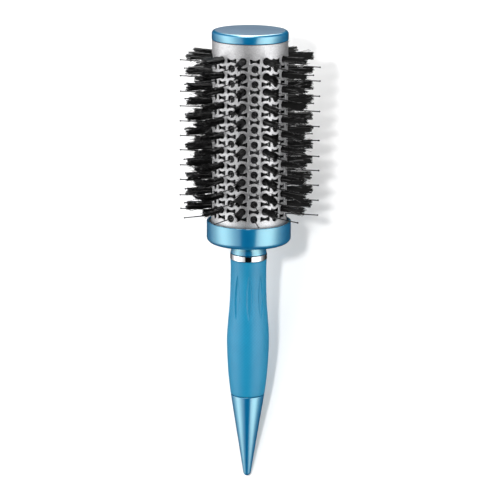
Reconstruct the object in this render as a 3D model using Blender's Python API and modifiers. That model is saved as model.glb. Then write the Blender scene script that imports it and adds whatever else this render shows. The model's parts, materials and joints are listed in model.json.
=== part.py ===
"""Round barrel brush: a vented aluminium barrel with ten strips of boar tufts and ten strips
of ball-tipped pins, on a handle with a soft grip and a tapered metal tail.

Every piece is modelled along its own axis: z runs from the tail tip at 0 to the face of the end
cap. An empty then lays the brush down as it rests on a table, on the pin tips next to the collar
and on the tail tip, with the origin under the middle of it. Lengths are in metres.
"""

from math import asin, atan, atan2, cos, degrees, hypot, pi, radians, sin

import bmesh
import bpy
from mathutils import Matrix, Vector

# Driving dimensions: stations along the axis, from the tail tip.
TAIL_TOP = 0.0508
GRIP_TOP = 0.1323
CHROME_TOP = 0.1358
NECK_TOP = 0.1424
COLLAR_TOP = 0.1552
BARREL_TOP = 0.2602
CAP_TOP = 0.2656

# Driving dimensions: radii and walls.
TAIL_SLOPE = 0.158
TAIL_TIP_RADIUS = 0.0022
CORE_RADIUS = 0.0075
SPIGOT_RADIUS = 0.0055
CHROME_RADIUS = 0.01065
NECK_RADIUS = 0.01045
COLLAR_RADIUS = 0.0243
BARREL_RADIUS = 0.02165
BARREL_WALL = 0.0008
CAP_RADIUS = 0.0219
SHEET_WALL = 0.0012

# The bristle field.
COLUMNS = 20
ROWS = 22
ROW_PITCH = 0.00431
FIRST_ROW = 0.1602
HOLE_RADIUS = 0.0021
VENT_WIDTH = 0.0058
VENT_HEIGHT = 0.0028
VENT_WAIST = 0.0013
BOSS_RADIUS = 0.0018
TUFT_ROOT_RADIUS = 0.00175
TUFT_TIP_RADIUS = 0.0020
TUFT_REACH = 0.0373
PIN_REACH = 0.0410
PIN_RADIUS = 0.0003
BALL_RADIUS = 0.00055
RAIL_WIDTH = 0.0038
RAIL_INSIDE = 0.0184
RAIL_OUTSIDE = 0.0201
RAIL_OVERHANG = 0.0027

# The soft grip's outline, as stations and radii, and its finger flutes.
GRIP_OUTLINE = (
    (0.0508, 0.00985),
    (0.0640, 0.01125),
    (0.0820, 0.01222),
    (0.0940, 0.0117),
    (0.1150, 0.0104),
    (0.1323, 0.01035),
)
FLUTES = 9
FLUTE_MIDDLE = 0.1108
FLUTE_LENGTH = 0.025
FLUTE_WIDTH = 0.0036
FLUTE_LENS_DEPTH = 0.0016
FLUTE_PHASE = radians(3.3)
FLUTE_FLOOR = 0.0098
LENS_SHARE = 0.58

# Fits and tessellation.
GAP = 0.0003
CHAMFER = 0.0004
VISIBLE_STEPS = 24
HIDDEN_STEPS = 20
SMALL_STEPS = 12
GRIP_STEPS = 30
LENS_STEPS = 6
HOLE_SIDES = 6
PIN_SIDES = 4
HARD_EDGE = radians(35)

# The barrel is flat along each column of holes; its radii are those of its corners.
HALF_FACET = pi / COLUMNS
BARREL_CORNER = BARREL_RADIUS * 2 / (1 + cos(HALF_FACET))
BARREL_INSIDE = BARREL_CORNER - BARREL_WALL
BARREL_FLAT = BARREL_CORNER * cos(HALF_FACET)
HUB_BOTTOM = NECK_TOP + SHEET_WALL + GAP
HUB_TOP = 0.1515
GROOVE_BOTTOM = 0.1485
RING_TOP = FIRST_ROW - RAIL_OVERHANG - 2 * GAP
LAST_ROW = FIRST_ROW + (ROWS - 1) * ROW_PITCH
RAIL_TOP = LAST_ROW + RAIL_OVERHANG
WASHER_TOP = HUB_TOP + GAP + SHEET_WALL

FINISHES = {
    # name: colour, metallic, roughness
    "blue_anodised": ((0.012, 0.21, 0.42, 1), 1.0, 0.3),
    "barrel_aluminium": ((0.72, 0.73, 0.75, 1), 1.0, 0.35),
    "chrome": ((0.85, 0.86, 0.88, 1), 1.0, 0.06),
    "soft_grip": ((0.035, 0.24, 0.42, 1), 0.0, 0.7),
    "boar_bristle": ((0.012, 0.011, 0.011, 1), 0.0, 0.45),
    "nylon_pin": ((0.025, 0.026, 0.028, 1), 0.0, 0.4),
    "core_plastic": ((0.10, 0.10, 0.11, 1), 0.0, 0.55),
    "steel": ((0.60, 0.60, 0.62, 1), 1.0, 0.3),
}


def clear_scene():
    for item in list(bpy.data.objects):
        bpy.data.objects.remove(item, do_unlink=True)


def new_collection(name):
    collection = bpy.data.collections.new(name)
    bpy.context.scene.collection.children.link(collection)
    return collection


def material_for(name, finish):
    """A Principled material of the piece's own."""
    colour, metallic, roughness = FINISHES[finish]
    material = bpy.data.materials.new(name)
    material.use_nodes = True
    shader = material.node_tree.nodes["Principled BSDF"]
    shader.inputs["Base Color"].default_value = colour
    shader.inputs["Metallic"].default_value = metallic
    shader.inputs["Roughness"].default_value = roughness
    material.diffuse_color = colour
    return material


def place(name, mesh, finish, turn=0.0):
    """An object on the brush's axis, turned about it."""
    item = bpy.data.objects.new(name, mesh)
    item.parent = axis
    item.rotation_euler.z = turn
    parts.objects.link(item)
    mesh.materials.clear()
    mesh.materials.append(material_for(name, finish))
    return item


def place_cutter(name, mesh):
    item = bpy.data.objects.new(name, mesh)
    item.parent = axis
    item.hide_render = True
    item.display_type = "WIRE"
    cutters.objects.link(item)
    return item


def arc(centre, radius, start, end, steps):
    """Points of a profile's round corner, its angles in degrees from +r towards +z."""
    r, z = centre
    angles = [radians(start + (end - start) * i / steps) for i in range(steps + 1)]
    return [(r + radius * cos(a), z + radius * sin(a)) for a in angles]


def smooth_outline(points, steps):
    """Stations and radii on a smooth curve through the given ones."""
    padded = [points[0], *points, points[-1]]
    line = []
    for i in range(1, len(padded) - 2):
        before, here, there, after = (Vector(p) for p in padded[i - 1 : i + 3])
        for j in range(steps):
            t = j / steps
            line.append(
                (
                    2 * here
                    + (there - before) * t
                    + (2 * before - 5 * here + 4 * there - after) * t * t
                    + (3 * here - before - 3 * there + after) * t * t * t
                )
                / 2
            )
    line.append(Vector(points[-1]))
    return line


def turned_mesh(name, profile, steps, closed):
    """A profile of (radius, station) swept round the axis; its outer side runs downwards."""
    mesh = bpy.data.meshes.new(name)
    count = len(profile)
    edges = [(i, i + 1) for i in range(count - 1)]
    if closed:
        edges.append((count - 1, 0))
    mesh.from_pydata([(r, 0, z) for r, z in profile], edges, [])
    blank = bpy.data.objects.new(name, mesh)
    bpy.context.scene.collection.objects.link(blank)
    screw = blank.modifiers.new("Screw", "SCREW")
    screw.axis = "Z"
    screw.steps = steps
    screw.render_steps = steps
    screw.use_merge_vertices = True
    screw.merge_threshold = 0.00001
    swept = evaluated_mesh(blank)
    bpy.data.objects.remove(blank)
    return swept


def evaluated_mesh(item):
    """The object's mesh with its modifiers applied, smooth except on hard edges."""
    bpy.context.view_layer.update()
    graph = bpy.context.evaluated_depsgraph_get()
    mesh = bpy.data.meshes.new_from_object(item.evaluated_get(graph))
    mesh.name = item.name
    mesh.shade_smooth()
    mesh.set_sharp_from_angle(angle=HARD_EDGE)
    return mesh


def ring(name, profile, finish, steps=VISIBLE_STEPS, turn=0.0):
    """A turned piece with a hole along its axis."""
    return place(name, turned_mesh(name, profile, steps, closed=True), finish, turn)


def spindle(name, profile, finish, steps=VISIBLE_STEPS, turn=0.0):
    """A turned piece whose profile starts and ends on the axis."""
    return place(name, turned_mesh(name, profile, steps, closed=False), finish, turn)


def boolean(item, other, operation):
    modifier = item.modifiers.new(operation.title(), "BOOLEAN")
    modifier.operation = operation
    modifier.solver = "EXACT"
    modifier.object = other


def mesh_of(bm, name):
    mesh = bpy.data.meshes.new(name)
    bm.to_mesh(mesh)
    bm.free()
    return mesh


def add_radial_cones(bm, stations, angle, section):
    """Cones that point out from the axis at one angle, one at each station.

    The section is their start and end along the outward direction, and their radius at each.
    """
    start, end, start_radius, end_radius = section
    for station in stations:
        at = Matrix.Translation(((start + end) / 2, 0, station))
        outward = Matrix.Rotation(angle, 4, "Z") @ at @ Matrix.Rotation(pi / 2, 4, "Y")
        bmesh.ops.create_cone(
            bm,
            cap_ends=True,
            segments=HOLE_SIDES,
            radius1=start_radius,
            radius2=end_radius,
            depth=end - start,
            matrix=outward,
        )


def tuft_shapes(stations):
    """The tufts of one strip, each a bundle that spreads a little towards its tip."""
    bm = bmesh.new()
    section = (RAIL_INSIDE + GAP, TUFT_REACH, TUFT_ROOT_RADIUS, TUFT_TIP_RADIUS)
    add_radial_cones(bm, stations, 0, section)
    return mesh_of(bm, "tufts")


def pin_shapes(stations):
    """The pins of one strip: each a boss in its hole, a thin shaft and a ball tip."""
    ball_middle = PIN_REACH - BALL_RADIUS
    root = RAIL_INSIDE + GAP
    profile = [
        (0, PIN_REACH),
        (BALL_RADIUS, ball_middle),
        (PIN_RADIUS, ball_middle - BALL_RADIUS),
        (PIN_RADIUS, BARREL_FLAT),
        (BOSS_RADIUS, BARREL_FLAT - GAP / 2),
        (BOSS_RADIUS, root),
        (0, root),
    ]
    single = turned_mesh("pin", profile, PIN_SIDES, closed=False)
    bm = bmesh.new()
    for station in stations:
        outward = Matrix.Translation((0, 0, station)) @ Matrix.Rotation(pi / 2, 4, "Y")
        one = single.copy()
        one.transform(outward)
        bm.from_mesh(one)
    return mesh_of(bm, "pins")


def rows_from(first):
    """The stations of every second row."""
    return [FIRST_ROW + row * ROW_PITCH for row in range(first, ROWS, 2)]


def column_angle(column):
    return 2 * pi * column / COLUMNS


def make_tail_cone():
    """A turned shell that tapers to a round tip, open at the grip end."""
    lean = atan(TAIL_SLOPE)
    middle = TAIL_TIP_RADIUS
    side_radius = middle / cos(lean) - middle * TAIL_SLOPE
    top = TAIL_TOP - GAP / 2
    top_radius = side_radius + TAIL_SLOPE * (top - CHAMFER)
    bore_end = 0.007
    profile = [
        (0, bore_end),
        (side_radius + TAIL_SLOPE * bore_end - SHEET_WALL, bore_end),
        (side_radius + TAIL_SLOPE * top - SHEET_WALL, top),
        (top_radius - CHAMFER, top),
        (top_radius, top - CHAMFER),
        *arc((0, middle), TAIL_TIP_RADIUS, -degrees(lean), -90, 4)[:-1],
        (0, 0),
    ]
    spindle("tail_cone", profile, "blue_anodised")


def make_handle_core():
    """The moulded rod inside the handle: a spike in the tail, a shaft and a spigot on top."""
    spike_end = 0.009
    spike_top = TAIL_TOP - GAP / 2
    spike_radius = TAIL_TIP_RADIUS + TAIL_SLOPE * spike_end - SHEET_WALL - 2 * GAP
    shoulder = NECK_TOP + SHEET_WALL
    pilot_radius = 0.0023
    pilot_end = 0.124
    profile = [
        (0, pilot_end),
        (pilot_radius, pilot_end),
        (pilot_radius, HUB_TOP - GAP),
        (SPIGOT_RADIUS, HUB_TOP - GAP),
        (SPIGOT_RADIUS, shoulder),
        (CORE_RADIUS, shoulder),
        (CORE_RADIUS, spike_top),
        (spike_radius, spike_end),
        (0, spike_end),
    ]
    spindle("handle_core", profile, "core_plastic", HIDDEN_STEPS)


def flute_cutter():
    """A ring of long lens shapes round the grip, each of which sinks one flute into it.

    A lens takes up a little more than a flute's length and width, as its sides are flat facets.
    """
    bm = bmesh.new()
    for flute in range(FLUTES):
        turn = Matrix.Rotation(FLUTE_PHASE + 2 * pi * flute / FLUTES, 4, "Z")
        at = Matrix.Translation((FLUTE_FLOOR + FLUTE_LENS_DEPTH, 0, FLUTE_MIDDLE))
        half = (FLUTE_LENS_DEPTH, LENS_SHARE * FLUTE_WIDTH, LENS_SHARE * FLUTE_LENGTH, 1)
        size = Matrix.Diagonal(half)
        bmesh.ops.create_uvsphere(
            bm, u_segments=LENS_STEPS, v_segments=LENS_STEPS, radius=1, matrix=turn @ at @ size
        )
    return place_cutter("flutes", mesh_of(bm, "flutes"))


def make_grip():
    """The soft sleeve: fullest below its middle, with a ring of finger flutes on its neck."""
    bore = CORE_RADIUS + GAP
    outline = smooth_outline(GRIP_OUTLINE, 2)
    bottom = TAIL_TOP + GAP / 2
    top = GRIP_TOP - GAP / 2
    outer = [(radius, min(max(station, bottom), top)) for station, radius in outline]
    profile = [(bore, bottom), (bore, top), *reversed(outer)]
    grip = ring("grip", profile, "soft_grip", GRIP_STEPS)
    boolean(grip, flute_cutter(), "DIFFERENCE")


def bushing(name, radius, bottom, top, finish):
    """A plain sleeve on the core with rounded outer edges."""
    bore = CORE_RADIUS + GAP
    profile = [
        (bore, bottom),
        (bore, top),
        (radius - CHAMFER, top),
        (radius, top - CHAMFER),
        (radius, bottom + CHAMFER),
        (radius - CHAMFER, bottom),
    ]
    ring(name, profile, finish)


def make_collar():
    """The cup that closes the handle end of the barrel."""
    round_edge = 0.003
    inside = COLLAR_RADIUS - SHEET_WALL
    bottom = NECK_TOP + GAP / 2
    floor = bottom + SHEET_WALL - GAP / 2
    profile = [
        (CORE_RADIUS + GAP, bottom),
        (CORE_RADIUS + GAP, floor),
        (inside - CHAMFER, floor),
        (inside, floor + CHAMFER),
        (inside, COLLAR_TOP),
        (COLLAR_RADIUS - CHAMFER, COLLAR_TOP),
        (COLLAR_RADIUS, COLLAR_TOP - CHAMFER),
        *arc((COLLAR_RADIUS - round_edge, bottom + round_edge), round_edge, 0, -90, 4),
    ]
    ring("collar", profile, "blue_anodised")


def make_barrel_seat():
    """The moulded hub in the collar: its groove holds the barrel's end."""
    groove_outside = BARREL_CORNER + GAP
    groove_inside = BARREL_INSIDE - GAP
    rim = COLLAR_RADIUS - SHEET_WALL - GAP
    ring_inside = 0.0170
    profile = [
        (SPIGOT_RADIUS + GAP, HUB_BOTTOM),
        (SPIGOT_RADIUS + GAP, HUB_TOP),
        (ring_inside, HUB_TOP),
        (ring_inside, RING_TOP),
        (groove_inside, RING_TOP),
        (groove_inside, GROOVE_BOTTOM),
        (groove_outside, GROOVE_BOTTOM),
        (groove_outside, COLLAR_TOP - 2 * GAP),
        (rim, COLLAR_TOP - 2 * GAP),
        (rim, HUB_BOTTOM + CHAMFER),
        (rim - CHAMFER, HUB_BOTTOM),
    ]
    ring("barrel_seat", profile, "core_plastic", COLUMNS, turn=HALF_FACET)


def make_seat_fastening():
    """The screw and washer that pull the hub onto the handle core."""
    shank = 0.002
    washer_bore = shank + GAP
    washer_radius = 0.0085
    washer = [
        (washer_bore, HUB_TOP + GAP),
        (washer_bore, WASHER_TOP),
        (washer_radius, WASHER_TOP),
        (washer_radius, HUB_TOP + GAP),
    ]
    ring("seat_washer", washer, "steel", SMALL_STEPS)
    head = WASHER_TOP + GAP
    head_height = 0.0026
    head_radius = 0.0042
    crown_radius = 0.0025
    point = 0.126
    screw = [
        (0, head + head_height),
        (crown_radius, head + head_height),
        (head_radius, head + head_height / 2),
        (head_radius, head),
        (shank, head),
        (shank, point + shank),
        (0, point),
    ]
    driven = spindle("seat_screw", screw, "steel", SMALL_STEPS)
    slot_width = 0.0010
    slot_length = 0.0050
    for number, turn in enumerate((0, pi / 2)):
        size = Matrix.Diagonal((slot_length, slot_width, head_height, 1))
        at = Matrix.Translation((0, 0, head + head_height))
        bm = bmesh.new()
        bmesh.ops.create_cube(bm, size=1, matrix=at @ Matrix.Rotation(turn, 4, "Z") @ size)
        boolean(driven, place_cutter(f"recess_{number}", mesh_of(bm, "recess")), "DIFFERENCE")


def add_vents(bm, stations, angle):
    """Prisms of bow-tie section that point out from the axis at one angle, one at each station."""
    side, end, waist = VENT_WIDTH / 2, VENT_HEIGHT / 2, VENT_WAIST / 2
    outline = ((-side, -end), (0, -waist), (side, -end), (side, end), (0, waist), (-side, end))
    start = BARREL_FLAT - 2 * BARREL_WALL
    length = Vector((BARREL_CORNER - start, 0, 0))
    for station in stations:
        corners = [bm.verts.new((start, across, station + along)) for across, along in outline]
        base = bm.faces.new(corners)
        made = bmesh.ops.extrude_face_region(bm, geom=[base], use_keep_orig=True)["geom"]
        tops = [item for item in made if isinstance(item, bmesh.types.BMVert)]
        bmesh.ops.translate(bm, vec=length, verts=tops)
        turn = Matrix.Rotation(angle, 4, "Z")
        bmesh.ops.transform(bm, matrix=turn, verts=corners + tops)


def make_barrel():
    """The thin tube, flat where each column runs, with bristle holes and vents by turns."""
    bottom = GROOVE_BOTTOM + GAP
    top = BARREL_TOP - GAP / 2
    profile = [
        (BARREL_INSIDE, bottom),
        (BARREL_INSIDE, top),
        (BARREL_CORNER, top),
        (BARREL_CORNER, bottom),
    ]
    barrel = ring("barrel", profile, "barrel_aluminium", COLUMNS, turn=HALF_FACET)
    hole = (BARREL_FLAT - 2 * BARREL_WALL, BARREL_CORNER, HOLE_RADIUS, HOLE_RADIUS)
    bm = bmesh.new()
    for column in range(COLUMNS):
        first = column % 2
        add_radial_cones(bm, rows_from(first), column_angle(column), hole)
        add_vents(bm, rows_from(1 - first), column_angle(column))
    bmesh.ops.recalc_face_normals(bm, faces=bm.faces)
    boolean(barrel, place_cutter("holes", mesh_of(bm, "holes")), "DIFFERENCE")


def rail_mesh():
    """The flat strip behind one column of holes."""
    bottom = FIRST_ROW - RAIL_OVERHANG
    middle = ((RAIL_INSIDE + RAIL_OUTSIDE) / 2, 0, (bottom + RAIL_TOP) / 2)
    size = (RAIL_OUTSIDE - RAIL_INSIDE, RAIL_WIDTH, RAIL_TOP - bottom, 1)
    bm = bmesh.new()
    bmesh.ops.create_cube(bm, size=1, matrix=Matrix.Translation(middle) @ Matrix.Diagonal(size))
    return mesh_of(bm, "rail")


def strip_mesh(name, bristles):
    """A rail and its bristles joined in one body, pointing along +X."""
    rail = bpy.data.objects.new(name, rail_mesh())
    field = bpy.data.objects.new("bristles", bristles)
    for item in (rail, field):
        bpy.context.scene.collection.objects.link(item)
    boolean(rail, field, "UNION")
    joined = evaluated_mesh(rail)
    for item in (rail, field):
        bpy.data.objects.remove(item)
    return joined


def make_strips():
    """Pin strips in the even columns and boar strips in the odd ones."""
    pins = strip_mesh("pin_strip", pin_shapes(rows_from(0)))
    boar = strip_mesh("boar_strip", tuft_shapes(rows_from(1)))
    for column in range(COLUMNS):
        number = column // 2 + 1
        if column % 2:
            name, mesh, finish = f"boar_strip_{number:02d}", boar, "boar_bristle"
        else:
            name, mesh, finish = f"pin_strip_{number:02d}", pins, "nylon_pin"
        place(name, mesh.copy(), finish, column_angle(column))


def make_bristle_cage():
    """The moulded cage that presses the strips outwards: rings, with a rib behind each boar strip."""
    wall = 0.0015
    rings = 3
    ring_height = 0.003
    bottom = RING_TOP + GAP
    spacing = (RAIL_TOP - bottom - ring_height) / (rings - 1)
    flat = RAIL_INSIDE - GAP
    outside = flat / cos(HALF_FACET)
    profile = [
        (outside - wall, bottom),
        (outside - wall, RAIL_TOP),
        (outside, RAIL_TOP),
        (outside, bottom),
    ]
    cage = ring("bristle_cage", profile, "core_plastic", COLUMNS, turn=HALF_FACET)
    window_width = 2 * (outside * sin(2 * HALF_FACET) - RAIL_WIDTH / 2)
    window = Matrix.Diagonal((4 * wall, window_width, spacing - ring_height, 1))
    bm = bmesh.new()
    for column in range(0, COLUMNS, 2):
        for level in range(rings - 1):
            station = bottom + ring_height + (level + 0.5) * spacing - ring_height / 2
            at = Matrix.Translation((outside - wall / 2, 0, station))
            turn = Matrix.Rotation(column_angle(column), 4, "Z")
            bmesh.ops.create_cube(bm, size=1, matrix=turn @ at @ window)
    boolean(cage, place_cutter("windows", mesh_of(bm, "windows")), "DIFFERENCE")


def make_cap_plug():
    """The moulded plug in the barrel's open end, which carries the cap."""
    in_barrel = BARREL_INSIDE - GAP
    in_cap = CAP_RADIUS - SHEET_WALL - GAP
    inside = in_barrel - 2 * SHEET_WALL
    bottom = RAIL_TOP + GAP
    top = CAP_TOP - SHEET_WALL - GAP
    profile = [
        (0, top),
        (in_cap, top),
        (in_cap, BARREL_TOP),
        (in_barrel, BARREL_TOP),
        (in_barrel, bottom),
        (inside, bottom),
        (inside, top - 2 * SHEET_WALL),
        (0, top - 2 * SHEET_WALL),
    ]
    spindle("cap_plug", profile, "core_plastic", COLUMNS, turn=HALF_FACET)


def make_end_cap():
    """The turned cap, flat on its face with a rounded edge."""
    round_edge = 0.0019
    inside = CAP_RADIUS - SHEET_WALL
    bottom = BARREL_TOP + GAP / 2
    profile = [
        (0, CAP_TOP),
        *arc((CAP_RADIUS - round_edge, CAP_TOP - round_edge), round_edge, 90, 0, 4),
        (CAP_RADIUS, bottom + CHAMFER),
        (CAP_RADIUS - CHAMFER, bottom),
        (inside, bottom),
        (inside, CAP_TOP - SHEET_WALL),
        (0, CAP_TOP - SHEET_WALL),
    ]
    spindle("end_cap", profile, "blue_anodised")


def lay_down():
    """Turns and lifts the brush so that the lowest pins and the tail tip touch the table."""
    ball_middle = PIN_REACH - BALL_RADIUS
    drop = ball_middle * cos(column_angle(1))
    run = FIRST_ROW - TAIL_TIP_RADIUS
    lift = atan2(drop, run) - asin((TAIL_TIP_RADIUS - BALL_RADIUS) / hypot(drop, run))
    axis.rotation_euler.x = lift - pi / 2
    bpy.context.view_layer.update()
    graph = bpy.context.evaluated_depsgraph_get()
    corners = []
    for item in parts.objects:
        if item.type == "MESH":
            mesh = item.evaluated_get(graph).to_mesh()
            corners += [item.matrix_world @ vertex.co for vertex in mesh.vertices]
    low = Vector(map(min, zip(*corners)))
    high = Vector(map(max, zip(*corners)))
    middle = (low + high) / 2
    axis.location = (-middle.x, -middle.y, -low.z)


clear_scene()
parts = new_collection("round_barrel_brush")
cutters = new_collection("cutters")
axis = bpy.data.objects.new("brush_axis", None)
parts.objects.link(axis)
make_tail_cone()
make_handle_core()
make_grip()
bushing("chrome_ring", CHROME_RADIUS, GRIP_TOP + GAP / 2, CHROME_TOP - GAP / 2, "chrome")
bushing("neck_ring", NECK_RADIUS, CHROME_TOP + GAP / 2, NECK_TOP - GAP / 2, "blue_anodised")
make_collar()
make_barrel_seat()
make_seat_fastening()
make_barrel()
make_strips()
make_bristle_cage()
make_cap_plug()
make_end_cap()
lay_down()
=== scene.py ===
"""Looks of the round barrel brush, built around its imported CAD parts.

Every piece is made in the brush's own frame: z runs along its axis from the tail's tip to the
face of the cap, and a point's angle is counted from x towards y. One matrix, worked out from the
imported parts, lays each piece where its CAD part lies. Stations and radii are read from those
parts, and the constants below add the detail that the CAD parts leave out. Lengths are in metres.
"""

import json
from math import asin, atan2, cos, degrees, pi, radians, sin, sqrt, tan

import bmesh
import bpy
import numpy as np
from mathutils import Matrix, Vector


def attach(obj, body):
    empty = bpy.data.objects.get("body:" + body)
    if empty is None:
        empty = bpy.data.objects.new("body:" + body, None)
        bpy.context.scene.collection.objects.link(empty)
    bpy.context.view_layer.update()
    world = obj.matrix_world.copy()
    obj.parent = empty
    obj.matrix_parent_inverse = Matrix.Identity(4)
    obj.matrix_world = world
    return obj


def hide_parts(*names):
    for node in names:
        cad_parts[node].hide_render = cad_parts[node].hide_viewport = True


# Camera: where it stands against the brush, and how the brush sits in the picture.
CAMERA_LENS = 172.8
CAMERA_SENSOR = 36.0
CAMERA_CLIP = (0.05, 50)
CAMERA_DISTANCE = 1.39
CAMERA_STATION = 0.1373
CAMERA_LEAN = radians(13.7)
CAMERA_TURN = radians(10.6)
CAMERA_ROLL = radians(0.43)
CAMERA_OFFSET = 0.0008

# Room: its glow round the brush, by degrees from the camera's side.
ROOM_GLOW = (
    (-180, 0.02),
    (-150, 0.05),
    (-132, 0.22),
    (-118, 0.60),
    (-105, 1.00),
    (-95, 1.60),
    (-84, 2.35),
    (-68, 2.35),
    (-55, 1.70),
    (-41, 1.00),
    (-28, 0.65),
    (-23, 0.45),
    (-21, 0.005),
    (20.5, 0.005),
    (23, 1.20),
    (30, 1.90),
    (40, 2.40),
    (58, 2.60),
    (70, 2.20),
    (80, 1.40),
    (88, 0.80),
    (95, 0.48),
    (110, 0.15),
    (130, 0.03),
    (180, 0.02),
)
ROOM_PEAK = 2.6

# Fades of the room's glow: where a direction's component starts and ends the fade, and the share
# of the glow at both. The first two end the side lights towards the tail and towards the cap; the
# others bound the light beyond the cap.
TAIL_FADE = (-0.80, -0.50, 0.08, 1.0)
CAP_FADE = (0.40, 0.60, 1.0, 0.05)
BEYOND_NEAR = (0.50, 0.60, 0.0, 1.0)
BEYOND_TOP = (0.70, 0.84, 1.0, 0.0)
BEYOND_FOOT = (-0.78, -0.62, 0.0, 1.0)
BEYOND_SIDES = (0.12, 0.34, 1.0, 0.0)
BEYOND_SHIFT = 0.08
BEYOND_GLOW = 2.5

# Table and key light.
TABLE_SIZE = 6
TABLE_WHITE = (0.9, 0.9, 0.9, 1)
TABLE_GLOW = 0.06
KEY_PLACE = (-0.15, 0.15, 1.3)
KEY_AIM = (0, 0, 0.04)
KEY_SIZE = 0.12
KEY_POWER = 8.0

# Turned pieces.
TURN_STEPS = 160
SHEET = 0.0012
EDGE_ROUND = 0.0004
ROUND_STEPS = 6
HARD_EDGE = radians(32)
WELD = 1e-7
TAIL_TIP = 0.0022
TAIL_TIP_STEPS = 10
TAIL_BORE = 0.007
RING_ROUND = 0.0002
RING_ROUND_STEPS = 4
RING_STEPS = 12
NECK_WAIST = 0.00045
COLLAR_ROUND = 0.0031
COLLAR_ROUND_STEPS = 10
CAP_ROUND = 0.0019
CAP_ROUND_STEPS = 8
CAP_EDGE_STEPS = 3
CAP_FACE_DEPTH = 1e-5

# The soft grip: its outline as (station, radius), then its flutes and its diamond skin.
GRIP_FOOT_RADIUS = 0.00995
GRIP_OUTLINE = (
    (0.0640, 0.0114),
    (0.0820, 0.0123),
    (0.0940, 0.01175),
    (0.1050, 0.0109),
    (0.1150, 0.0105),
    (0.1260, 0.01035),
)
GRIP_TOP_RADIUS = 0.0105
GRIP_OUTLINE_STEPS = 12
GRIP_EDGE = 0.0003
GRIP_TURNS = 288
GRIP_STATIONS = 170
FLUTES = 9
FLUTE_MIDDLE = 0.1108
FLUTE_LENGTH = 0.0272
FLUTE_WIDTH = 0.0036
FLUTE_DEPTH = 0.0008
FLUTE_RADIUS = 0.0107
FLUTE_PHASE = radians(3.3)
DIAMOND_TURNS = 18.0
DIAMOND_RISE = 1500.0
RIDGE_WIDTH = 0.3
# Share of the paler blue on the grip's ridges: a painted highlight.
RIDGE_PAINTED_HIGHLIGHT = 0.7

# The perforated barrel.
COLUMNS = 20
BARREL_INSET = 0.0002
BARREL_WALL = 0.0008
BARREL_WELD = 2e-6
HOLE_RADIUS = 0.0021
VENT_HALF_WIDTH = 0.0029
VENT_HALF_HEIGHT = 0.00145
VENT_ARC = 0.00366
VENT_CORNER = 0.0004
VENT_CORNER_TURNS = (radians(100), radians(45), 0.0)
RIM_WIDTH = 0.00018
RIM_DEPTH = 0.00014
CELL_STEPS = 5

# Bristle strips: the rail, and how near to a strip's reach a bristle's outer end lies.
RAIL_WIDTH = 0.0027
RAIL_HEIGHT = 0.0017
RAIL_ROUND = 0.0003
END_SHARE = 0.985

# Pins, each in its boss. Their radii are those of the root, of the flare's end and of the shank.
# Feet and tops are counted outwards from the rail's inner side.
PIN_RADII = (0.000372, 0.000341, 0.00031)
PIN_SIDES = 8
PIN_FLARE = 0.004
PIN_SHORT = 0.0004
PIN_LEAN = 0.00035
PIN_DROOP = -0.0002
PIN_DROOP_SPREAD = 0.0003
LEAN_CURVE = 1.6
BALL_RADIUS = 0.0005
BALL_TURNS = (42, 66, 90, 114, 138, 165)
BOSS_SIDES = 24
BOSS_RADIUS = 0.0014
BOSS_FOOT = 0.0006
BOSS_TOP = 0.0024
BOSS_ROUND = 0.0003
WELL_RADIUS = 0.0006
WELL_ROUND = 0.0001
WELL_DEPTH = 0.0009
PLUG_RADII = (0.0016, 0.0015)
PLUG_TOP = 0.0019

# Tufts: how their hairs start, gather into clumps, spread, stray and vary in length.
HAIRS = 170
HAIR_RADIUS = 0.00012
HAIR_TAPER = 0.25
HAIR_RINGS = (0.0, 0.3, 0.6, 0.85, 0.98, 1.0)
HAIR_SIDES = 3
HAIR_BOW = 0.0003
FAN_CURVE = 1.5
TUFT_FOOT = 0.0008
TUFT_ROOT = 0.0015
TUFT_TIP = 0.0024
TUFT_LEAN = 0.0005
CLUMPS = 9
CLUMPING = 0.66
CLUMP_SHORT = 0.0018
HAIR_SPREAD = 0.0003
HAIR_SHORT = 0.0009
STRAY_SHARE = 0.15
STRAY_SPREAD = 0.0015
STRAY_SHORT = 0.003


# ---------------------------------------------------------------- the brush's own frame


def brush_frame():
    """The matrix from the brush's own frame to the row's."""
    mount = frame["record"]["mounts"][0]
    along = Vector(mount["axis"]).normalized()
    face = Vector(mount["pos_m"])
    tail = frame["nodes"]["tail_cone"].data.vertices
    length = max((face - vertex.co).dot(along) for vertex in tail)
    across = Vector((1, 0, 0))
    matrix = Matrix((across, along.cross(across), along)).transposed().to_4x4()
    matrix.translation = face - along * length
    return matrix


def own_points(node):
    """A CAD part's vertices in the brush's own frame."""
    to_own = np.array(to_row.inverted())
    points = np.array([vertex.co for vertex in frame["nodes"][node].data.vertices])
    return points @ to_own[:3, :3].T + to_own[:3, 3]


def reaches(points):
    """The points' distances from the brush's axis."""
    return np.hypot(points[:, 0], points[:, 1])


def span(node):
    """Lowest station, highest station and largest radius of a CAD part."""
    points = own_points(node)
    return points[:, 2].min(), points[:, 2].max(), reaches(points).max()


def bore_radius(node):
    """The smallest radius of a CAD part."""
    return reaches(own_points(node)).min()


def bristle_rows(node):
    """The stations of a strip's bristles, read from their outer ends."""
    points = own_points(node)
    reach = reaches(points)
    ends = np.sort(points[reach > END_SHARE * reach.max(), 2])
    groups = np.split(ends, np.flatnonzero(np.diff(ends) > HOLE_RADIUS) + 1)
    return [(group[0] + group[-1]) / 2 for group in groups]


def strip_angle(node):
    """The angle that a strip's bristles point at."""
    middle = own_points(node).mean(axis=0)
    return atan2(middle[1], middle[0])


def link(item):
    bpy.context.scene.collection.objects.link(item)
    return item


def place(name, mesh, replaced, material):
    """A piece on the brush that stands for a CAD part."""
    mesh.transform(to_row)
    item = link(bpy.data.objects.new(name, mesh))
    mesh.materials.clear()
    mesh.materials.append(material)
    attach(item, "root")
    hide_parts(replaced)
    return item


# ---------------------------------------------------------------- mesh helpers


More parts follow.
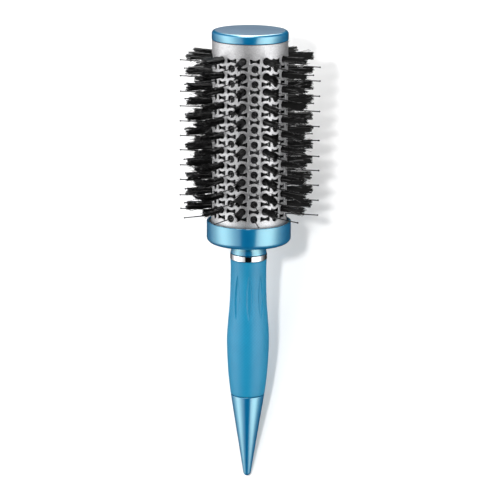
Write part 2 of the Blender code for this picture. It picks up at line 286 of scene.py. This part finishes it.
def finish_mesh(bm, name):
    """The mesh of a finished bmesh, smooth but for its hard edges."""
    bmesh.ops.recalc_face_normals(bm, faces=bm.faces)
    mesh = bpy.data.meshes.new(name)
    bm.to_mesh(mesh)
    bm.free()
    mesh.shade_smooth()
    mesh.set_sharp_from_angle(angle=HARD_EDGE)
    return mesh


def arc(centre, radius, start, end, steps=ROUND_STEPS):
    """Points of a profile's round corner, its angles in degrees from +r towards +z."""
    r, z = centre
    angles = [radians(start + (end - start) * i / steps) for i in range(steps + 1)]
    return [(r + radius * cos(a), z + radius * sin(a)) for a in angles]


def turned(name, profile, closed):
    """A profile of (radius, station) swept round the axis."""
    bm = bmesh.new()
    line = [bm.verts.new((radius, 0, station)) for radius, station in profile]
    edges = [bm.edges.new(pair) for pair in zip(line, line[1:])]
    if closed:
        edges.append(bm.edges.new((line[-1], line[0])))
    bmesh.ops.spin(
        bm,
        geom=line + edges,
        cent=(0, 0, 0),
        axis=(0, 0, 1),
        angle=2 * pi,
        steps=TURN_STEPS,
        use_merge=True,
    )
    bmesh.ops.remove_doubles(bm, verts=bm.verts, dist=WELD)
    return finish_mesh(bm, name)


def bridge(bm, first, second):
    """A band of faces between two loops of as many vertices."""
    count = len(first)
    for i in range(count):
        j = (i + 1) % count
        bm.faces.new((first[i], first[j], second[j], second[i]))


def smooth_line(points, steps):
    """Points on a smooth curve through the given ones."""
    padded = [points[0], *points, points[-1]]
    line = []
    for i in range(1, len(padded) - 2):
        before, here, there, after = (Vector(p) for p in padded[i - 1 : i + 3])
        for t in np.linspace(0, 1, steps, endpoint=False):
            cubic = 3 * here - before - 3 * there + after
            square = 2 * before - 5 * here + 4 * there - after
            line.append((2 * here + (there - before) * t + square * t**2 + cubic * t**3) / 2)
    line.append(Vector(points[-1]))
    return line


# ---------------------------------------------------------------- materials


class Nodes:
    """The node tree of a material, or of another owner, under construction."""

    def __init__(self, name, owner=None):
        self.owner = owner or bpy.data.materials.new(name)
        self.owner.use_nodes = True
        self.tree = self.owner.node_tree
        self.shader = self.tree.nodes.get("Principled BSDF")
        self.place = self.add("ShaderNodeTexCoord", object=brush_axis).outputs["Object"]

    def add(self, kind, **settings):
        node = self.tree.nodes.new(kind)
        for key, value in settings.items():
            setattr(node, key, value)
        return node

    def put(self, socket, value):
        """Feeds a socket from another socket, or sets it."""
        if isinstance(value, bpy.types.NodeSocket):
            self.tree.links.new(value, socket)
        else:
            socket.default_value = value

    def math(self, operation, *values):
        node = self.add("ShaderNodeMath", operation=operation)
        for socket, value in zip(node.inputs, values):
            self.put(socket, value)
        return node.outputs[0]

    def product(self, first, *others):
        for other in others:
            first = self.math("MULTIPLY", first, other)
        return first

    def noise(self, vector, scale, detail=3.0, roughness=0.6):
        node = self.add("ShaderNodeTexNoise")
        for key, value in (("Vector", vector), ("Scale", scale), ("Detail", detail)):
            self.put(node.inputs[key], value)
        self.put(node.inputs["Roughness"], roughness)
        return node.outputs["Fac"]

    def spread(self, value, low, high, to_low, to_high):
        """A value's range from low to high, mapped to another range and held at its ends."""
        node = self.add("ShaderNodeMapRange")
        for socket, given in zip(node.inputs, (value, low, high, to_low, to_high)):
            self.put(socket, given)
        return node.outputs[0]

    def vary(self, noise, low, high):
        """A number that a noise moves from low to high."""
        return self.spread(noise, 0.3, 0.7, low, high)

    def mix(self, share, first, second):
        node = self.add("ShaderNodeMix", data_type="RGBA")
        self.put(node.inputs["Factor"], share)
        self.put(node.inputs[6], first)
        self.put(node.inputs[7], second)
        return node.outputs[2]

    def mottle(self, noise, dark, light):
        """A colour that a noise moves from dark to light."""
        return self.mix(self.vary(noise, 0, 1), dark, light)

    def split(self, vector):
        node = self.add("ShaderNodeSeparateXYZ")
        self.put(node.inputs[0], vector)
        return node.outputs

    def polar(self):
        """Distance from the axis, angle round it, and station along it."""
        x, y, z = self.split(self.place)
        square = self.math("ADD", self.math("MULTIPLY", x, x), self.math("MULTIPLY", y, y))
        return self.math("SQRT", square), self.math("ARCTAN2", y, x), z

    def vector(self, x=0.0, y=0.0, z=0.0):
        node = self.add("ShaderNodeCombineXYZ")
        for socket, value in zip(node.inputs, (x, y, z)):
            self.put(socket, value)
        return node.outputs[0]

    def bump(self, height, depth):
        node = self.add("ShaderNodeBump")
        self.put(node.inputs["Height"], height)
        self.put(node.inputs["Distance"], depth)
        self.put(node.inputs["Strength"], 1.0)
        self.put(self.shader.inputs["Normal"], node.outputs[0])

    def surface(self, **values):
        """Sets the shader's sockets by name, with _ for a space."""
        for key, value in values.items():
            self.put(self.shader.inputs[key.replace("_", " ")], value)
        return self.owner


def turned_metal(name, dark, light, roughness, coat, metallic, ior, tint):
    """Anodised metal with the fine circles that turning leaves on it, under a clear film."""
    n = Nodes(name)
    radius, _, station = n.polar()
    circles = n.noise(n.vector(radius, 0.0, station), 7000, 2.0)
    cloud = n.noise(n.place, 60)
    n.bump(circles, 0.0000012)
    return n.surface(
        Base_Color=n.mottle(cloud, dark, light),
        Metallic=metallic,
        Roughness=n.vary(circles, roughness - 0.04, roughness + 0.04),
        IOR=ior,
        Specular_Tint=tint,
        Coat_Weight=coat,
        Coat_Roughness=0.17,
        Coat_IOR=2.4,
    )


def barrel_metal():
    """Blasted aluminium with a fine grain."""
    n = Nodes("barrel_metal")
    grain = n.noise(n.place, 2200, 4.0, 0.8)
    cloud = n.noise(n.place, 220)
    tone = n.spread(grain, 0.35, 0.65, 0, 1)
    n.bump(grain, 0.00003)
    return n.surface(
        Base_Color=n.mix(tone, (0.46, 0.46, 0.47, 1), (0.86, 0.86, 0.87, 1)),
        Metallic=1.0,
        Roughness=n.vary(cloud, 0.48, 0.58),
    )


def chrome_metal():
    """Polished metal with faint streaks along the axis and patches of wear."""
    n = Nodes("chrome_metal")
    _, angle, _ = n.polar()
    wear = n.noise(n.place, 500, 4.0)
    streaks = n.noise(n.vector(angle, 0.0, 0.0), 24)
    tone = n.spread(streaks, 0.35, 0.7, 0, 1)
    return n.surface(
        Base_Color=n.mix(tone, (0.80, 0.81, 0.83, 1), (0.93, 0.94, 0.95, 1)),
        Metallic=1.0,
        Roughness=n.vary(wear, 0.04, 0.09),
    )


def grip_rubber():
    """Soft rubber with a matt bloom and a fine diamond pattern of thin ridges, coloured paler as a
    painted highlight.
    """
    n = Nodes("grip_rubber")
    _, angle, station = n.polar()
    turns = n.math("MULTIPLY", angle, DIAMOND_TURNS)
    rise = n.math("MULTIPLY", station, DIAMOND_RISE)
    ridges = []
    for sign in ("ADD", "SUBTRACT"):
        wave = n.math("ABSOLUTE", n.math("SINE", n.math(sign, turns, rise)))
        ridges.append(n.spread(wave, 0.0, RIDGE_WIDTH, 1.0, 0.0))
    ridge = n.math("MAXIMUM", *ridges)
    grain = n.noise(n.place, 3500)
    cloud = n.noise(n.place, 90, 4.0)
    skin = n.mottle(cloud, (0.001, 0.185, 0.34, 1), (0.002, 0.21, 0.375, 1))
    n.bump(n.math("ADD", ridge, grain), 0.00003)
    # The ridges are mixed towards a paler blue: a painted highlight that the fine relief stands
    # for.
    return n.surface(
        Base_Color=n.mix(n.product(ridge, RIDGE_PAINTED_HIGHLIGHT), skin, (0.004, 0.27, 0.47, 1)),
        Roughness=n.vary(grain, 0.36, 0.46),
        Specular_IOR_Level=0.6,
    )


def bristle_hair():
    """Boar hair, near black, with a paler hair here and there as painted glints."""
    n = Nodes("bristle_hair")
    island = n.add("ShaderNodeNewGeometry").outputs["Random Per Island"]
    # A few hairs, picked at random per hair, get a paler base colour: painted glints.
    tone = n.spread(island, 0.92, 0.97, 0, 1)
    band = n.noise(n.place, 700, 2.0)
    return n.surface(
        Base_Color=n.mix(tone, (0.003, 0.003, 0.003, 1), (0.20, 0.20, 0.20, 1)),
        Roughness=n.vary(band, 0.30, 0.46),
        Specular_IOR_Level=0.35,
    )


def nylon(name, dark, light, roughness):
    """Moulded plastic with a slight mottle."""
    n = Nodes(name)
    cloud = n.noise(n.place, 900)
    n.bump(cloud, 0.00001)
    return n.surface(
        Base_Color=n.mottle(cloud, dark, light),
        Roughness=n.vary(cloud, roughness - 0.06, roughness + 0.06),
    )


def bright_steel():
    """Plain steel with a slight mottle."""
    n = Nodes("bright_steel")
    cloud = n.noise(n.place, 1500)
    return n.surface(
        Base_Color=n.mottle(cloud, (0.55, 0.55, 0.57, 1), (0.68, 0.68, 0.70, 1)),
        Metallic=1.0,
        Roughness=n.vary(cloud, 0.22, 0.34),
    )


# ---------------------------------------------------------------- turned pieces


def make_tail_cone():
    """The tapered tail, whose side touches the round tip and the widest ring of its CAD part."""
    _, top, widest = span("tail_cone")
    points = own_points("tail_cone")
    height = points[reaches(points).argmax(), 2] - TAIL_TIP
    lean = atan2(widest, height) - asin(TAIL_TIP / sqrt(widest**2 + height**2))
    slope = tan(lean)
    side = TAIL_TIP / cos(lean) - TAIL_TIP * slope
    edge = top - EDGE_ROUND
    profile = [
        (0, TAIL_BORE),
        (side + slope * TAIL_BORE - SHEET, TAIL_BORE),
        (side + slope * top - SHEET, top),
        *arc((side + slope * edge - EDGE_ROUND, edge), EDGE_ROUND, 90, 0),
        *arc((0, TAIL_TIP), TAIL_TIP, -degrees(lean), -90, TAIL_TIP_STEPS)[:-1],
        (0, 0),
    ]
    place("tail", turned("tail", profile, False), "tail_cone", blue)


def make_ring(name, node, material, waist):
    """A sleeve on the handle's core, drawn in by its waist at the middle."""
    bottom, top, radius = span(node)
    bore = bore_radius(node)
    upper = top - RING_ROUND
    height = top - bottom - 2 * RING_ROUND
    shares = [i / RING_STEPS for i in range(1, RING_STEPS)]
    profile = [
        (bore, bottom),
        (bore, top),
        *arc((radius - RING_ROUND, upper), RING_ROUND, 90, 0, RING_ROUND_STEPS),
        *[(radius - waist * sin(pi * share), upper - height * share) for share in shares],
        *arc((radius - RING_ROUND, bottom + RING_ROUND), RING_ROUND, 0, -90, RING_ROUND_STEPS),
    ]
    place(name, turned(name, profile, True), node, material)


def make_collar():
    """The cup that the barrel stands in."""
    bottom, top, radius = span("collar")
    bore = bore_radius("collar")
    inside = radius - SHEET
    foot = (radius - COLLAR_ROUND, bottom + COLLAR_ROUND)
    profile = [
        (bore, bottom),
        (bore, bottom + SHEET),
        (inside, bottom + SHEET),
        (inside, top - EDGE_ROUND / 2),
        (inside + EDGE_ROUND / 2, top),
        *arc((radius - EDGE_ROUND, top - EDGE_ROUND), EDGE_ROUND, 90, 0),
        *arc(foot, COLLAR_ROUND, 0, -90, COLLAR_ROUND_STEPS),
    ]
    place("collar_cup", turned("collar_cup", profile, True), "collar", blue)


def make_end_cap():
    """The cap, with its flat face in a greyer, duller copy of the blue metal: a painted dark
    reflection.
    """
    bottom, top, radius = span("end_cap")
    inside = radius - SHEET
    shoulder = (radius - CAP_ROUND, top - CAP_ROUND)
    edge = (radius - EDGE_ROUND, bottom + EDGE_ROUND)
    profile = [
        (0, top),
        *arc(shoulder, CAP_ROUND, 90, 0, CAP_ROUND_STEPS),
        *arc(edge, EDGE_ROUND, 0, -90, CAP_EDGE_STEPS),
        (inside, bottom),
        (inside, top - SHEET),
        (0, top - SHEET),
    ]
    mesh = turned("cap", profile, False)
    on_face = [vertex.co.z > top - CAP_FACE_DEPTH for vertex in mesh.vertices]
    cap = place("cap", mesh, "end_cap", blue)
    # The face's polygons take the second material, a painted dark reflection.
    cap.data.materials.append(cap_face)
    for polygon in cap.data.polygons:
        if all(on_face[i] for i in polygon.vertices):
            polygon.material_index = 1


# ---------------------------------------------------------------- the soft grip


def flute_depth(angle, station):
    """How far the grip's surface is sunk at a place: a ring of lens-shaped flutes."""
    pitch = 2 * pi / FLUTES
    off = (angle - FLUTE_PHASE + pitch / 2) % pitch - pitch / 2
    along = (station - FLUTE_MIDDLE) / (FLUTE_LENGTH / 2)
    if abs(along) >= 1:
        return 0.0
    half = FLUTE_WIDTH / 2 * (1 - along**2)
    across = abs(off) * FLUTE_RADIUS / half
    return FLUTE_DEPTH * (1 - across**4) * (1 - along**4) if across < 1 else 0.0


def make_grip():
    """The grip's sleeve: its outline, sunk by the flutes and rounded at both ends."""
    bottom, top, _ = span("grip")
    bore = bore_radius("grip")
    ends = (bottom, GRIP_FOOT_RADIUS), (top, GRIP_TOP_RADIUS)
    outline = smooth_line((ends[0], *GRIP_OUTLINE, ends[1]), GRIP_OUTLINE_STEPS)
    stations = np.linspace(bottom, top, GRIP_STATIONS)
    radii = np.interp(stations, [p[0] for p in outline], [p[1] for p in outline])
    angles = [2 * pi * i / GRIP_TURNS for i in range(GRIP_TURNS)]
    bm = bmesh.new()

    def ring(station, ring_radii):
        return [
            bm.verts.new((r * cos(angle), r * sin(angle), station))
            for r, angle in zip(ring_radii, angles)
        ]

    rings = [ring(bottom, [bore] * GRIP_TURNS)]
    for station, radius in zip(stations, radii):
        nearest = min(station - bottom, top - station)
        rounded = radius - GRIP_EDGE * max(0, 1 - nearest / GRIP_EDGE) ** 2
        rings.append(ring(station, [rounded - flute_depth(angle, station) for angle in angles]))
    rings.append(ring(top, [bore] * GRIP_TURNS))
    for lower, upper in zip(rings, [*rings[1:], rings[0]]):
        bridge(bm, lower, upper)
    place("grip_sleeve", finish_mesh(bm, "grip_sleeve"), "grip", grip_rubber())


# ---------------------------------------------------------------- the perforated barrel


def round_hole():
    """A bristle hole's outline as one quarter of points, from the top round to the side."""
    steps = 2 * CELL_STEPS
    turns = [pi / 2 * i / steps for i in range(steps)]
    return [(HOLE_RADIUS * sin(turn), HOLE_RADIUS * cos(turn)) for turn in turns]


def vent_hole():
    """A bow-tie vent's outline as one quarter, its top and bottom concentric with the holes."""
    rise = row_pitch - VENT_HALF_HEIGHT
    sweep = atan2(sqrt(VENT_ARC**2 - rise**2), rise)
    turns = [sweep * i / CELL_STEPS for i in range(CELL_STEPS)]
    x, y = VENT_HALF_WIDTH - VENT_CORNER, VENT_HALF_HEIGHT - VENT_CORNER
    side_steps = CELL_STEPS - 2
    return [
        *[(VENT_ARC * sin(turn), row_pitch - VENT_ARC * cos(turn)) for turn in turns],
        *[(x + VENT_CORNER * cos(a), y + VENT_CORNER * sin(a)) for a in VENT_CORNER_TURNS],
        *[(VENT_HALF_WIDTH, y * (1 - i / side_steps)) for i in range(1, side_steps)],
    ]


def cell_border(half_width, half_height):
    """A cell's edge as one quarter of points, from the top round to the side."""
    top = [(half_width * i / CELL_STEPS, half_height) for i in range(CELL_STEPS)]
    side = [(half_width, half_height * (1 - i / CELL_STEPS)) for i in range(CELL_STEPS)]
    return [*top, *side]


def whole_loop(quarter):
    """A closed outline from its quarter, which runs from the top to just before the side."""
    side = max(x for x, _ in quarter)
    back = quarter[:0:-1]
    return [
        *quarter,
        (side, 0.0),
        *[(x, -y) for x, y in back],
        *[(-x, -y) for x, y in quarter],
        (-side, 0.0),
        *[(-x, y) for x, y in back],
    ]


def widen(loop, distance):
    """The loop moved outwards by a distance, along its own normals."""
    count = len(loop)
    moved = []
    for i, (x, y) in enumerate(loop):
        ahead, behind = loop[(i + 1) % count], loop[i - 1]
        tangent = Vector((ahead[0] - behind[0], ahead[1] - behind[1])).normalized()
        moved.append((x - tangent.y * distance, y + tangent.x * distance))
    return moved


def make_barrel():
    """The tube: a cell round each hole and vent, with a bevelled rim, and a plain band at each
    end."""
    bottom, top, _ = span("barrel")
    radius = span("end_cap")[2] - BARREL_INSET
    inner = radius - BARREL_WALL
    half_height = row_pitch / 2
    border = whole_loop(cell_border(pi * radius / COLUMNS, half_height))
    outlines = [whole_loop(round_hole()), whole_loop(vent_hole())]
    rims = [widen(outline, RIM_WIDTH) for outline in outlines]
    bm = bmesh.new()

    def ring(loop, column, station, level):
        angles = [2 * pi * column / COLUMNS + x / radius for x, _ in loop]
        return [
            bm.verts.new((level * cos(angle), level * sin(angle), station + y))
            for angle, (_, y) in zip(angles, loop)
        ]

    def circle(level, station):
        steps = COLUMNS * 2 * CELL_STEPS
        angles = [2 * pi * i / steps - pi / COLUMNS for i in range(steps)]
        return [bm.verts.new((level * cos(a), level * sin(a), station)) for a in angles]

    for column in range(COLUMNS):
        for row, station in enumerate(rows):
            kind = (row + column) % 2
            loops = [
                ring(border, column, station, inner),
                ring(outlines[kind], column, station, inner),
                ring(outlines[kind], column, station, radius - RIM_DEPTH),
                ring(rims[kind], column, station, radius),
                ring(border, column, station, radius),
            ]
            for first, second in zip(loops, loops[1:]):
                bridge(bm, first, second)
    low = rows[0] - half_height
    high = rows[-1] + half_height
    for start, end, here, there in ((low, bottom, radius, inner), (high, top, inner, radius)):
        path = ((here, start), (here, end), (there, end), (there, start))
        circles = [circle(level, station) for level, station in path]
        for first, second in zip(circles, circles[1:]):
            bridge(bm, first, second)
    bmesh.ops.remove_doubles(bm, verts=bm.verts, dist=BARREL_WELD)
    mesh = finish_mesh(bm, "barrel_tube")
    place("barrel_tube", mesh, "barrel", barrel_metal())


# ---------------------------------------------------------------- bristle strips


def add_rail(bm, node):
    """The rail behind one column of holes."""
    bottom, top, _ = span(node)
    middle = Vector((own_inside + RAIL_HEIGHT / 2, 0, (bottom + top) / 2))
    size = Matrix.Diagonal((RAIL_HEIGHT, RAIL_WIDTH, top - bottom, 1))
    made = bmesh.ops.create_cube(bm, size=1, matrix=Matrix.Translation(middle) @ size)
    edges = list({edge for vertex in made["verts"] for edge in vertex.link_edges})
    bmesh.ops.bevel(
        bm, geom=edges, offset=RAIL_ROUND, segments=2, affect="EDGES", profile=0.5
    )


def add_spindle(bm, station, profile, sides, lean=Vector()):
    """A turned body of (radius, outwards distance), which leans sideways more and more."""
    root, tip = profile[0][1], profile[-1][1]
    angles = [2 * pi * i / sides for i in range(sides)]
    section = [Vector((0, cos(a), sin(a))) for a in angles]
    rings = []
    for radius, out in profile:
        share = max(0, (out - root) / (tip - root)) ** LEAN_CURVE
        centre = Vector((out, 0, station)) + lean * share
        rings.append([bm.verts.new(centre + radius * spoke) for spoke in section])
    for first, second in zip(rings, rings[1:]):
        bridge(bm, first, second)
    bm.faces.new(reversed(rings[0]))
    bm.faces.new(rings[-1])


def add_pin(bm, station, reach, rng):
    """One ball-tipped pin, which leans a little, in a boss with a well round the pin's root."""
    root = own_inside + BOSS_FOOT
    top = own_inside + BOSS_TOP
    boss = [
        (BOSS_RADIUS, root),
        (BOSS_RADIUS, top - BOSS_ROUND),
        (BOSS_RADIUS - BOSS_ROUND, top),
        (WELL_RADIUS + WELL_ROUND, top),
        (WELL_RADIUS, top - WELL_ROUND),
        (WELL_RADIUS, top - WELL_DEPTH),
    ]
    add_spindle(bm, station, boss, BOSS_SIDES)
    ball = reach - BALL_RADIUS
    pin = list(zip(PIN_RADII, (root, root + PIN_FLARE, ball - BALL_RADIUS)))
    for turn in BALL_TURNS:
        a = radians(turn)
        pin.append((BALL_RADIUS * sin(a), ball - BALL_RADIUS * cos(a)))
    lean = Vector((0, rng.normal(0, PIN_LEAN), rng.normal(PIN_DROOP, PIN_DROOP_SPREAD)))
    add_spindle(bm, station, pin, PIN_SIDES, lean)


def make_pin_strip(number):
    """One strip of ball-tipped pins."""
    node = f"pin_strip_{number:02d}"
    rng = np.random.default_rng(100 + number)
    reach = span(node)[2]
    bm = bmesh.new()
    add_rail(bm, node)
    for station in bristle_rows(node):
        add_pin(bm, station, reach - rng.uniform(0, PIN_SHORT), rng)
    mesh = finish_mesh(bm, f"pins_{number:02d}")
    mesh.transform(Matrix.Rotation(strip_angle(node), 4, "Z"))
    place(f"pins_{number:02d}", mesh, node, pin_plastic)


def disc_points(rng, count):
    """Points spread over the unit disc."""
    angle = rng.uniform(0, 2 * pi, count)
    distance = np.sqrt(rng.uniform(0, 1, count))
    return np.stack([distance * np.cos(angle), distance * np.sin(angle)], axis=1)


def tuft(rng, station, reach):
    """The hairs of one tuft, as points of their centrelines: (hair, ring, xyz)."""
    root = own_inside + TUFT_FOOT
    spot = disc_points(rng, HAIRS)
    clumps = disc_points(rng, CLUMPS)
    nearest = np.linalg.norm(spot[:, None] - clumps[None], axis=2).argmin(axis=1)
    gathered = (1 - CLUMPING) * spot + CLUMPING * clumps[nearest]
    stray = rng.uniform(size=HAIRS) < STRAY_SHARE
    end = gathered * TUFT_TIP + rng.normal(0, TUFT_LEAN, 2)
    end += rng.normal(0, HAIR_SPREAD, (HAIRS, 2))
    end += stray[:, None] * rng.normal(0, STRAY_SPREAD, (HAIRS, 2))
    length = reach - rng.uniform(0, CLUMP_SHORT, CLUMPS)[nearest]
    length -= np.abs(rng.normal(0, HAIR_SHORT, HAIRS))
    length -= stray * rng.uniform(0, STRAY_SHORT, HAIRS)
    bow = rng.normal(0, HAIR_BOW, (HAIRS, 2))
    share = np.array(HAIR_RINGS)
    fanned = share[None, :, None] ** FAN_CURVE
    side = (
        spot[:, None] * TUFT_ROOT * (1 - fanned)
        + end[:, None] * fanned
        + bow[:, None] * np.sin(pi * share)[None, :, None]
    )
    out = root + (length - root)[:, None] * share[None]
    return np.stack([out, side[:, :, 0], side[:, :, 1] + station], axis=2)


def hair_mesh(lines):
    """Closed hairs round centrelines, each with a point at its end, as vertices and faces."""
    count, rings, _ = lines.shape
    rings -= 1
    turn = 2 * pi * np.arange(HAIR_SIDES) / HAIR_SIDES
    section = np.stack([np.zeros(HAIR_SIDES), np.cos(turn), np.sin(turn)], axis=1)
    radii = HAIR_RADIUS * (1 - HAIR_TAPER * np.arange(rings) / rings)
    body = lines[:, :rings, None, :] + radii[None, :, None, None] * section[None, None]
    body = body.reshape(count, rings * HAIR_SIDES, 3)
    vertices = np.concatenate([body, lines[:, -1:]], axis=1)
    tip = rings * HAIR_SIDES
    sides = [(i, (i + 1) % HAIR_SIDES) for i in range(HAIR_SIDES)]
    faces = [tuple(reversed(range(HAIR_SIDES)))]
    for low in range(0, tip - HAIR_SIDES, HAIR_SIDES):
        high = low + HAIR_SIDES
        faces += [(low + i, low + j, high + j, high + i) for i, j in sides]
    last = tip - HAIR_SIDES
    faces += [(last + i, last + j, tip) for i, j in sides]
    every = [
        tuple(index + hair * (tip + 1) for index in face) for hair in range(count) for face in faces
    ]
    return vertices.reshape(-1, 3).tolist(), every


def make_boar_strip(number):
    """One strip of tufts, each in the plug that fills its hole."""
    node = f"boar_strip_{number:02d}"
    rng = np.random.default_rng(number)
    stations = bristle_rows(node)
    reach = span(node)[2]
    plug = list(zip(PLUG_RADII, (own_inside + BOSS_FOOT, own_inside + PLUG_TOP)))
    bm = bmesh.new()
    add_rail(bm, node)
    for station in stations:
        add_spindle(bm, station, plug, BOSS_SIDES)
    hairs = bpy.data.meshes.new("hairs")
    vertices, faces = hair_mesh(np.concatenate([tuft(rng, s, reach) for s in stations]))
    hairs.from_pydata(vertices, [], faces)
    bm.from_mesh(hairs)
    mesh = finish_mesh(bm, f"boar_{number:02d}")
    mesh.transform(Matrix.Rotation(strip_angle(node), 4, "Z"))
    place(f"boar_{number:02d}", mesh, node, boar_hair)


# ---------------------------------------------------------------- camera, light and table


def make_camera():
    """The camera above the brush, leaning towards the cap and turned about the brush's axis."""
    facing = Vector((sin(CAMERA_TURN), -cos(CAMERA_TURN), 0))
    axis = Vector((0, 0, 1))
    outward = facing * cos(CAMERA_LEAN) + axis * sin(CAMERA_LEAN)
    along = axis * cos(CAMERA_LEAN) - facing * sin(CAMERA_LEAN)
    right = along.cross(outward)
    turn = to_row.to_3x3()
    target = to_row @ (axis * CAMERA_STATION + right * CAMERA_OFFSET)
    data = bpy.data.cameras.new("camera")
    data.lens = CAMERA_LENS
    data.sensor_width = CAMERA_SENSOR
    data.clip_start, data.clip_end = CAMERA_CLIP
    camera = link(bpy.data.objects.new("camera", data))
    rotation = Matrix((turn @ right, turn @ along, turn @ outward)).transposed()
    rotation = rotation @ Matrix.Rotation(CAMERA_ROLL, 3, "Z")
    place_at = target + turn @ outward * CAMERA_DISTANCE
    camera.matrix_world = Matrix.Translation(place_at) @ rotation.to_4x4()
    bpy.context.scene.camera = camera


def make_key_light():
    """A small light from above left, which casts the soft shadow."""
    data = bpy.data.lights.new("key", "AREA")
    data.shape = "RECTANGLE"
    data.size = data.size_y = KEY_SIZE
    data.energy = KEY_POWER
    light = link(bpy.data.objects.new("key", data))
    light.location = KEY_PLACE
    light.rotation_mode = "QUATERNION"
    light.rotation_quaternion = (Vector(KEY_AIM) - light.location).to_track_quat("-Z", "Y")
    light.visible_glossy = False
    light.visible_camera = False


def make_room():
    """The room's light: a long softbox on each side of the brush, a dark gap over it, and a
    softbox beyond its cap."""
    world = bpy.data.worlds.new("room")
    bpy.context.scene.world = world
    n = Nodes("room", world)
    x, y, z = n.split(n.add("ShaderNodeTexCoord").outputs["Generated"])
    first, last = ROOM_GLOW[0][0], ROOM_GLOW[-1][0]
    angle = n.math("SUBTRACT", n.math("ARCTAN2", x, z), CAMERA_TURN)
    ramp = n.add("ShaderNodeValToRGB")
    n.put(ramp.inputs[0], n.spread(angle, radians(first), radians(last), 0.0, 1.0))
    stops = ramp.color_ramp.elements
    while len(stops) < len(ROOM_GLOW):
        stops.new(0.5)
    for stop, (turn, glow) in zip(stops, ROOM_GLOW):
        stop.position = (turn - first) / (last - first)
        stop.color = (glow / ROOM_PEAK, glow / ROOM_PEAK, glow / ROOM_PEAK, 1)
    sides = n.product(ramp.outputs[0], n.spread(y, *TAIL_FADE), n.spread(y, *CAP_FADE))
    off_middle = n.math("ABSOLUTE", n.math("ADD", x, BEYOND_SHIFT))
    beyond = n.product(
        n.spread(y, *BEYOND_NEAR),
        n.spread(z, *BEYOND_TOP),
        n.spread(z, *BEYOND_FOOT),
        n.spread(off_middle, *BEYOND_SIDES),
        BEYOND_GLOW,
    )
    background = n.tree.nodes["Background"]
    n.put(background.inputs["Color"], n.math("MAXIMUM", sides, beyond))
    n.put(background.inputs["Strength"], ROOM_PEAK)


def make_table():
    """A matt white table, which glows a little and stays out of the brush's reflections."""
    bm = bmesh.new()
    bmesh.ops.create_grid(bm, x_segments=8, y_segments=8, size=TABLE_SIZE)
    table = link(bpy.data.objects.new("table_top", finish_mesh(bm, "table_top")))
    table.data.materials.append(
        Nodes("white_table").surface(
            Base_Color=TABLE_WHITE,
            Roughness=0.9,
            Specular_IOR_Level=0.1,
            Emission_Color=(1, 1, 1, 1),
            Emission_Strength=TABLE_GLOW,
        )
    )
    table.visible_glossy = False


# ---------------------------------------------------------------- the scene


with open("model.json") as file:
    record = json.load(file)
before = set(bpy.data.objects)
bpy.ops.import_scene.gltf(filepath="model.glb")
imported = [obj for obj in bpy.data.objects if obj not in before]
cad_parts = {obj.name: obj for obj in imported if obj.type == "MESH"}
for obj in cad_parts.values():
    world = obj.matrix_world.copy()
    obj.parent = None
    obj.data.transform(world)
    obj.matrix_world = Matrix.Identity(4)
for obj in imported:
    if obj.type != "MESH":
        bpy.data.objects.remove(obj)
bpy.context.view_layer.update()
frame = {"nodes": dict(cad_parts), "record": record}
to_row = brush_frame()
brush_axis = link(bpy.data.objects.new("brush_axis", None))
brush_axis.matrix_world = to_row
pin_rows = bristle_rows("pin_strip_01")
rows = sorted([*pin_rows, *bristle_rows("boar_strip_01")])
row_pitch = (pin_rows[-1] - pin_rows[0]) / (len(pin_rows) - 1) / 2
own_inside = np.abs(own_points("pin_strip_01")[:, 0]).min()

blue = turned_metal(
    "blue_anodised",
    dark=(0.0, 0.15, 0.385, 1),
    light=(0.0, 0.17, 0.415, 1),
    roughness=0.32,
    coat=1.0,
    metallic=0.25,
    ior=2.3,
    tint=(0.0, 1.0, 0.45, 1),
)
# The cap's face: a greyer, duller copy of the blue metal, which paints a dark reflection.
cap_face = turned_metal(
    "cap_face_painted_shade",
    dark=(0.11, 0.18, 0.262, 1),
    light=(0.13, 0.205, 0.292, 1),
    roughness=0.40,
    coat=0.1,
    metallic=0.55,
    ior=1.29,
    tint=(1.0, 1.0, 1.0, 1),
)
dark_plastic = nylon(
    "dark_plastic", (0.035, 0.036, 0.038, 1), (0.055, 0.056, 0.06, 1), roughness=0.45
)
pin_plastic = nylon(
    "pin_plastic", (0.012, 0.012, 0.012, 1), (0.024, 0.024, 0.025, 1), roughness=0.26
)
boar_hair = bristle_hair()
steel = bright_steel()

make_camera()
make_key_light()
make_room()
make_table()
bpy.context.scene.view_settings.view_transform = "Standard"
make_tail_cone()
make_grip()
make_ring("chrome_band", "chrome_ring", chrome_metal(), 0.0)
make_ring("neck_sleeve", "neck_ring", blue, NECK_WAIST)
make_collar()
make_end_cap()
make_barrel()
for strip in range(1, COLUMNS // 2 + 1):
    make_pin_strip(strip)
    make_boar_strip(strip)
for material, nodes in (
    (dark_plastic, ("handle_core", "barrel_seat", "bristle_cage", "cap_plug")),
    (steel, ("seat_screw", "seat_washer")),
):
    for node in nodes:
        slots = frame["nodes"][node].data.materials
        slots.clear()
        slots.append(material)
